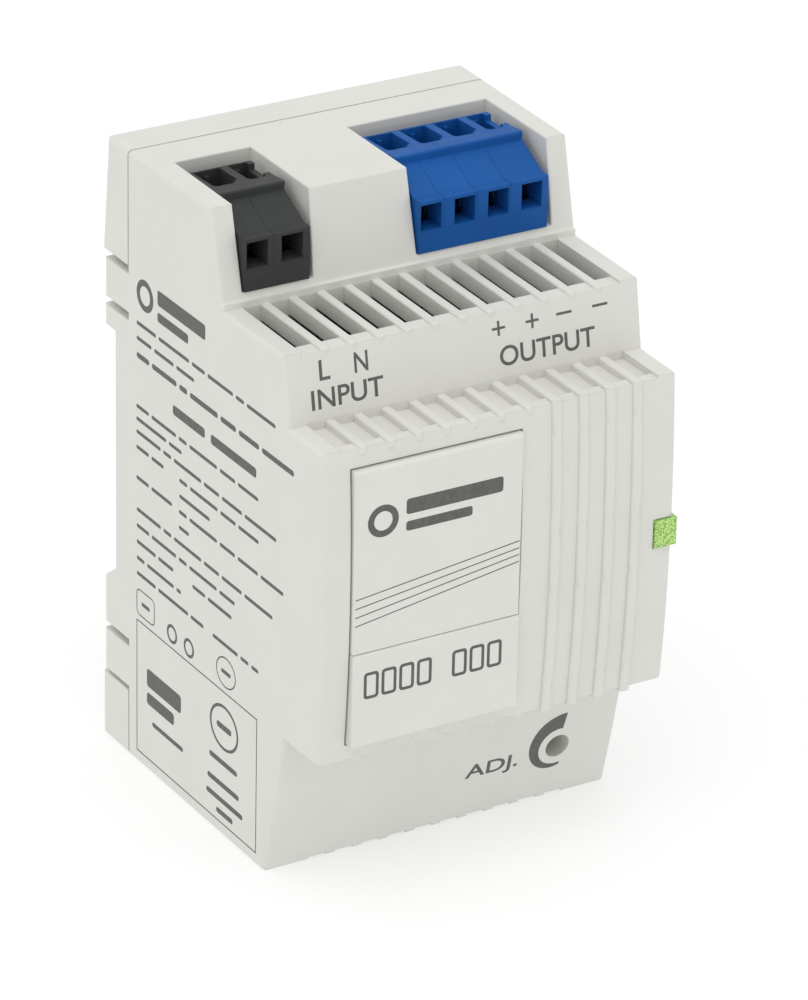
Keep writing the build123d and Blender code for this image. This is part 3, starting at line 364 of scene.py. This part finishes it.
def circle_through(a, b, c):
    """Centre and radius of the circle through three points of a plane."""
    ax, ay, bx, by, cx, cy = *a, *b, *c
    d = 2 * (ax * (by - cy) + bx * (cy - ay) + cx * (ay - by))
    sa, sb, sc = ax**2 + ay**2, bx**2 + by**2, cx**2 + cy**2
    x = (sa * (by - cy) + sb * (cy - ay) + sc * (ay - by)) / d
    y = (sa * (cx - bx) + sb * (ax - cx) + sc * (bx - ax)) / d
    return (x, y), sqrt((ax - x) ** 2 + (ay - y) ** 2)


CHIN_ARC = circle_through((-19.3, 21.9), (-17.3, 11.5), (-14.5, 0.0))  # the (y, z) of three points


def chin_face(u, v, rise):
    """The gentle bulge of the chin below the main face."""
    (centre_y, centre_z), radius = CHIN_ARC
    return Vector((u, centre_y - sqrt(radius**2 - (v - centre_z) ** 2) - rise, v))


# ---------------------------------------------------------------- markings
def ink(name, flat, face):
    """Turns flat curves or letters into thin closed pads of ink that follow a face of the housing."""
    flat.extrude = 1.0
    drawn = bpy.data.objects.new(name + "_drawn", flat)
    scene.collection.objects.link(drawn)
    mesh = bpy.data.meshes.new_from_object(drawn)
    bpy.data.objects.remove(drawn)
    mesh.name = name
    pad = bmesh.new()
    pad.from_mesh(mesh)
    bmesh.ops.remove_doubles(pad, verts=pad.verts, dist=0.0005)
    for vert in pad.verts:
        rise = INK_HEIGHT if vert.co.z > 0 else -INK_ROOT
        vert.co = face(vert.co.x, vert.co.y, rise) * MM
    bmesh.ops.recalc_face_normals(pad, faces=pad.faces)
    pad.to_mesh(mesh)
    pad.free()
    for polygon in mesh.polygons:
        polygon.use_smooth = False
    mesh.materials.clear()
    mesh.materials.append(INK)
    piece = bpy.data.objects.new(name, mesh)
    scene.collection.objects.link(piece)
    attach(piece, "housing")
    return piece


def outlines_to_curve(name, outlines):
    """A filled flat curve; an outline inside another cuts a hole in it."""
    curve = bpy.data.curves.new(name, "CURVE")
    curve.dimensions = "2D"
    curve.fill_mode = "BOTH"
    for outline in outlines:
        spline = curve.splines.new("POLY")
        spline.points.add(len(outline) - 1)
        for point, (x, y) in zip(spline.points, outline):
            point.co = (x, y, 0, 1)
        spline.use_cyclic_u = True
    return curve


def bar(u, v, radius=0.0):
    """A rectangle between two (low, high) pairs, its corners rounded if a radius is given."""
    if radius == 0:
        return [(u[0], v[0]), (u[1], v[0]), (u[1], v[1]), (u[0], v[1])]
    corners = [(u[1] - radius, v[1] - radius), (u[0] + radius, v[1] - radius)]
    corners += [(u[0] + radius, v[0] + radius), (u[1] - radius, v[0] + radius)]
    points = []
    for quarter, (x, y) in enumerate(corners):
        for step in range(4):
            turn = (quarter + step / 3) * pi / 2
            points.append((x + radius * cos(turn), y + radius * sin(turn)))
    return points


def oval(centre, radii, steps=48):
    """An ellipse."""
    turns = [2 * pi * i / steps for i in range(steps)]
    return [(centre[0] + radii[0] * cos(t), centre[1] + radii[1] * sin(t)) for t in turns]


def ring(centre, radii, width):
    """An ellipse and the hole in it."""
    return [oval(centre, radii), oval(centre, (radii[0] - width, radii[1] - width))]


def hollow_bar(u, v, width, radius=0.0, hole_radius=0.0):
    """A rectangle with a hole in it that leaves a line of the given width."""
    hole = bar((u[0] + width, u[1] - width), (v[0] + width, v[1] - width), hole_radius)
    return [bar(u, v, radius), hole]


def plus_sign(u, v, reach, half):
    """A cross of four equal arms around a point."""
    cross = []
    for su, sv in ((1, 1), (-1, 1), (-1, -1), (1, -1)):
        quarter = [(u + su * half, v + sv * reach), (u + su * half, v + sv * half)]
        quarter.append((u + su * reach, v + sv * half))
        cross += quarter if su * sv < 0 else quarter[::-1]
    return cross


LETTER_WEIGHT = 0.012  # how much the strokes are thickened, in parts of the letters' height


def lettering(name, text, face, u, v):
    """Plain functional letters, scaled to fill a box on a face."""
    flat = bpy.data.curves.new(name, "FONT")
    flat.body = text
    flat.offset = LETTER_WEIGHT
    flat.extrude = 1.0
    trial = bpy.data.objects.new(name, flat)
    scene.collection.objects.link(trial)
    bpy.context.view_layer.update()
    xs = [corner[0] for corner in trial.bound_box]
    ys = [corner[1] for corner in trial.bound_box]
    bpy.data.objects.remove(trial)
    across = (u[1] - u[0]) / (max(xs) - min(xs))
    up = (v[1] - v[0]) / (max(ys) - min(ys))

    def fitted(x, y, rise):
        return face(u[0] + (x - min(xs)) * across, v[0] + (y - min(ys)) * up, rise)

    return ink(name, flat, fitted)


WORD_GAP = 0.75
SHORTEST_WORD = 0.8


def text_line(start, end, height, tall, words):
    """One line of unreadable print: rounded dashes as long as words, with gaps between them."""
    dashes = []
    while end - start > SHORTEST_WORD:
        length = min(next(words), end - start)
        dashes.append(bar((start, start + length), (height - tall / 2, height + tall / 2), tall * 0.45))
        start += length + WORD_GAP
    return dashes


WORDS = (5.2, 8.1, 3.4, 6.6, 2.1, 7.3, 4.0)
SIDE_LINES = [  # (start, end, height, thickness of the dashes), from the top down
    (-19.9, 16.7, 65.6, 0.55),
    (-19.9, -4.5, 63.4, 0.55),
    (-19.9, 22.4, 60.95, 0.8),
    (-20.0, 13.8, 53.5, 0.55),
    (-20.0, -6.3, 51.65, 0.55),
    (-20.0, 18.0, 49.75, 0.55),
    (-20.0, -12.6, 47.5, 0.55),
    (-8.3, 13.7, 47.5, 0.55),
    (-8.3, 0.2, 45.2, 0.55),
    (-20.0, -10.3, 43.0, 0.55),
    (-8.4, 19.0, 42.9, 0.55),
    (-8.4, -5.7, 40.6, 0.55),
    (-19.9, 16.3, 38.3, 0.55),
    (-19.9, 7.4, 35.9, 0.55),
    (-19.9, -9.9, 33.5, 0.55),
    (-4.7, 5.7, 33.5, 0.55),
    (-19.9, -7.8, 31.1, 0.55),
    (-19.9, -1.7, 28.8, 0.55),
    (0.8, 12.8, 28.8, 0.55),
]


FRAME_LINE = 0.2


def emblem(u, v):
    """A neutral sign, a ring beside two bars, that fills a box."""
    tall = v[1] - v[0]
    centre = (u[0] + tall / 2, (v[0] + v[1]) / 2)
    bars = (u[0] + tall * 1.25, u[1])
    outlines = ring(centre, (tall / 2, tall / 2), tall * 0.2)
    outlines.append(bar(bars, (v[0] + tall * 0.52, v[1]), tall * 0.08))
    outlines.append(bar((bars[0], bars[1] - tall), (v[0], v[0] + tall * 0.30), tall * 0.08))
    return outlines


def print_left_side():
    """Emblem, lines of small print and a framed field of neutral signs on the left wall."""
    shapes = emblem((-19.9, -1.6), (67.9, 72.4))
    words = cycle(WORDS)
    for start, end, height, thickness in SIDE_LINES:
        shapes += text_line(start, end, height, thickness, words)
    shapes.append(bar((-10.1, -1.6), (56.3, 57.7), 0.4))
    shapes.append(bar((0.0, 11.8), (56.3, 57.7), 0.4))
    # a rounded frame with a bar in it, two small rings and a flat ring
    shapes += hollow_bar((-20.0, -14.95), (22.6, 26.6), FRAME_LINE, 0.9, 0.7)
    shapes.append(bar((-18.6, -16.35), (24.3, 24.9), 0.25))
    for centre in (-10.2, -5.6):
        shapes += ring((centre, 23.85), (1.4, 1.4), 0.45)
    shapes += ring((4.35, 24.75), (2.6, 2.25), 0.22)
    shapes.append(bar((3.1, 5.6), (24.45, 25.05), 0.25))
    # the frame and what it holds
    shapes += hollow_bar((-20.0, 12.65), (1.7, 21.8), FRAME_LINE)
    shapes.append(bar((-17.1, -7.7), (12.9, 15.6), 0.5))
    shapes.append(bar((-17.1, -9.6), (10.2, 12.0), 0.5))
    shapes += text_line(-15.6, -7.1, 7.7, 0.7, cycle((8.5,)))
    shapes += ring((3.95, 16.35), (3.8, 3.35), 0.45)
    shapes.append(bar((2.0, 5.9), (15.9, 16.8), 0.4))
    for start, end, height in ((0.1, 7.5, 11.0), (-0.4, 8.0, 7.6), (-0.7, 9.0, 5.2), (2.0, 6.4, 3.3)):
        shapes += text_line(start, end, height, 0.8, cycle((end - start,)))
    ink("side_print", outlines_to_curve("side_print", shapes), left_side)


HALF_STROKE = 0.17  # of the plus and minus signs
SIGN_HEIGHT = 73.4


def print_shelf_face():
    """Terminal designations on the face below the vents."""
    lettering("mark_line", "L", shelf_face, (-21.4, -19.85), (71.85, 74.5))
    lettering("mark_neutral", "N", shelf_face, (-16.3, -14.3), (71.85, 74.5))
    lettering("mark_input", "INPUT", shelf_face, (-22.8, -12.3), (68.2, 70.8))
    lettering("mark_output", "OUTPUT", shelf_face, (4.95, 19.3), (68.3, 70.95))
    signs = [plus_sign(centre, SIGN_HEIGHT, 0.98, HALF_STROKE) for centre in (5.0, 10.05)]
    for centre in (14.85, 20.3):
        signs.append(bar((centre - 1.15, centre + 1.15), (73.5 - HALF_STROKE, 73.5 + HALF_STROKE)))
    ink("mark_signs", outlines_to_curve("mark_signs", signs), shelf_face)


def print_front_plates():
    """Emblem and four rising lines on the upper plate, a row of hollow blocks on the lower one."""
    ink("label_emblem", outlines_to_curve("label_emblem", emblem((-20.1, -0.2), (53.7, 58.2))), label_face)
    left, right = -21.7, 2.5
    half_line = 0.07
    lines = []
    for left_z, right_z in zip((45.5, 44.25, 43.0, 41.75), (48.35, 47.35, 46.4, 45.4)):
        low = [(left, left_z - half_line), (right, right_z - half_line)]
        lines.append([*low, (right, right_z + half_line), (left, left_z + half_line)])
    ink("label_lines", outlines_to_curve("label_lines", lines), label_face)
    pitch, block_width, block_line = 2.62, 2.2, 0.42
    blocks = []
    for place in (0, 1, 2, 3, 5, 6, 7):
        start = -20.4 + pitch * place
        blocks += hollow_bar((start, start + block_width), (31.1, 34.9), block_line, 0.5, 0.2)
    ink("marker_blocks", outlines_to_curve("marker_blocks", blocks), marker_face)


ADJUSTER = (17.5, 8.4)  # (x, z) of the adjusting hole
ARC_START, ARC_SWEEP = 82, 202  # in degrees
ARC_HOLLOW = 2.95  # inner radius
ARC_WIDE, ARC_GROWTH = 5.5, 2.15  # outer radius at the wide end, and how much less it is at the other


def print_chin():
    """Caption of the adjuster and the growing arc around its hole."""
    lettering("mark_adjust", "ADJ.", chin_face, (3.25, 11.4), (6.1, 9.0))
    steps = 40
    outer, inner = [], []
    for i in range(steps + 1):
        share = i / steps
        turn = radians(ARC_START + ARC_SWEEP * share)
        for edge, reach in ((outer, ARC_WIDE - ARC_GROWTH * share), (inner, ARC_HOLLOW)):
            edge.append((ADJUSTER[0] + reach * cos(turn), ADJUSTER[1] + reach * sin(turn)))
    ink("mark_growing_arc", outlines_to_curve("mark_growing_arc", [outer + inner[::-1]]), chin_face)


print_left_side()
print_shelf_face()
print_front_plates()
print_chin()


# ---------------------------------------------------------------- foot spring
def wire_coil(name, centre_y, low, high, radius, wire, turns):
    """A compression spring whose end turns are closed up against its seats."""
    steps_per_turn, sides = 28, 10
    closing = 0.06  # how strongly the rise lags at both ends
    steps = int(turns * steps_per_turn)
    body = bmesh.new()
    rings = []
    for i in range(steps + 1):
        share = i / steps
        rise = share - sin(2 * pi * share) * closing
        turn = 2 * pi * turns * share
        out = Vector((cos(turn), sin(turn), 0))
        middle = Vector((0, centre_y, low + wire + (high - low - 2 * wire) * rise)) + out * radius
        circle = []
        for k in range(sides):
            around = 2 * pi * k / sides
            circle.append(body.verts.new(middle + wire * (out * cos(around) + Vector((0, 0, sin(around))))))
        rings.append(circle)
    for near, far in zip(rings, rings[1:]):
        for k in range(sides):
            nxt = (k + 1) % sides
            body.faces.new((near[k], near[nxt], far[nxt], far[k])).smooth = True
    body.faces.new(rings[0][::-1])
    body.faces.new(rings[-1])
    bmesh.ops.recalc_face_normals(body, faces=body.faces)
    mesh = bpy.data.meshes.new(name)
    body.to_mesh(mesh)
    body.free()
    mesh.materials.append(FINISHES["steel"])
    coil = bpy.data.objects.new(name, mesh)
    scene.collection.objects.link(coil)
    return coil


spring_low, spring_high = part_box("foot_spring")
SPRING_Y = (spring_low.y + spring_high.y) / 2
COIL_RADIUS, WIRE_RADIUS, TURNS = 1.45 * MM, 0.22 * MM, 8
spring = wire_coil("foot_spring_coil", SPRING_Y, spring_low.z, spring_high.z, COIL_RADIUS, WIRE_RADIUS, TURNS)
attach(spring, "housing")
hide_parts("foot_spring")
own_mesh(spring)


# ---------------------------------------------------------------- stage, lights and camera
FLOOR_GLOW = 0.48
ROOM_LIGHT = 0.86
SUN_TOWARDS, SUN_STRENGTH, SUN_SPREAD = (-0.06, -0.05, 0.23), 0.78, 50


def studio_floor():
    """A plain white sheet under the object, which glows a little so that shadows on it stay light."""
    glow = {"Emission_Color": (1, 1, 1, 1), "Emission_Strength": FLOOR_GLOW}
    material = principled("floor_white", (0.5, 0.5, 0.5), 0.9, **glow)
    vary_colour(material, 0.5, (0.498, 0.498, 0.498), (0.502, 0.502, 0.502))
    mesh = bpy.data.meshes.new("floor")
    half = 3.0
    corners = [(-half, -half, 0), (half, -half, 0), (half, half, 0), (-half, half, 0)]
    mesh.from_pydata(corners, [], [(0, 1, 2, 3)])
    mesh.materials.append(material)
    floor = bpy.data.objects.new("floor", mesh)
    scene.collection.objects.link(floor)


def soft_sun(towards, strength, spread):
    """A distant light that shines from the given direction, its disc as many degrees wide as spread says."""
    light = bpy.data.lights.new("key", "SUN")
    light.energy = strength
    light.angle = radians(spread)
    lamp = bpy.data.objects.new("key", light)
    lamp.rotation_euler = Vector(towards).to_track_quat("Z", "Y").to_euler()
    scene.collection.objects.link(lamp)


def white_room(strength):
    """Even white light from all round."""
    world = bpy.data.worlds.new("white_room")
    world.use_nodes = True
    background = world.node_tree.nodes["Background"]
    background.inputs["Color"].default_value = (1, 1, 1, 1)
    background.inputs["Strength"].default_value = strength
    scene.world = world


studio_floor()
white_room(ROOM_LIGHT)
soft_sun(SUN_TOWARDS, SUN_STRENGTH, SUN_SPREAD)
scene.view_settings.view_transform = "Standard"

AZIMUTH, ELEVATION, ROLL = radians(-30.93), radians(26.25), radians(1.284)
DISTANCE = 753.8 * MM
SIDE_STEP, UP_STEP = 2.31 * MM, -2.33 * MM
FOCAL_LENGTH = 205.25
AIM = Vector((0, 0.2 * MM, 44.5 * MM))


def studio_camera():
    """A long lens at the height and angle of a product picture."""
    back = Vector((sin(AZIMUTH) * cos(ELEVATION), -cos(AZIMUTH) * cos(ELEVATION), sin(ELEVATION)))
    level = (-back).cross(Vector((0, 0, 1))).normalized()
    upright = level.cross(-back)
    right = cos(ROLL) * level + sin(ROLL) * upright
    up = cos(ROLL) * upright - sin(ROLL) * level
    data = bpy.data.cameras.new("camera")
    data.lens = FOCAL_LENGTH
    data.sensor_width = 36
    data.clip_start, data.clip_end = 0.05, 20
    camera = bpy.data.objects.new("camera", data)
    turn = Matrix((right, up, back)).transposed()
    place = AIM + back * DISTANCE + right * SIDE_STEP + up * UP_STEP
    camera.matrix_world = Matrix.Translation(place) @ turn.to_4x4()
    scene.collection.objects.link(camera)
    scene.camera = camera


studio_camera()
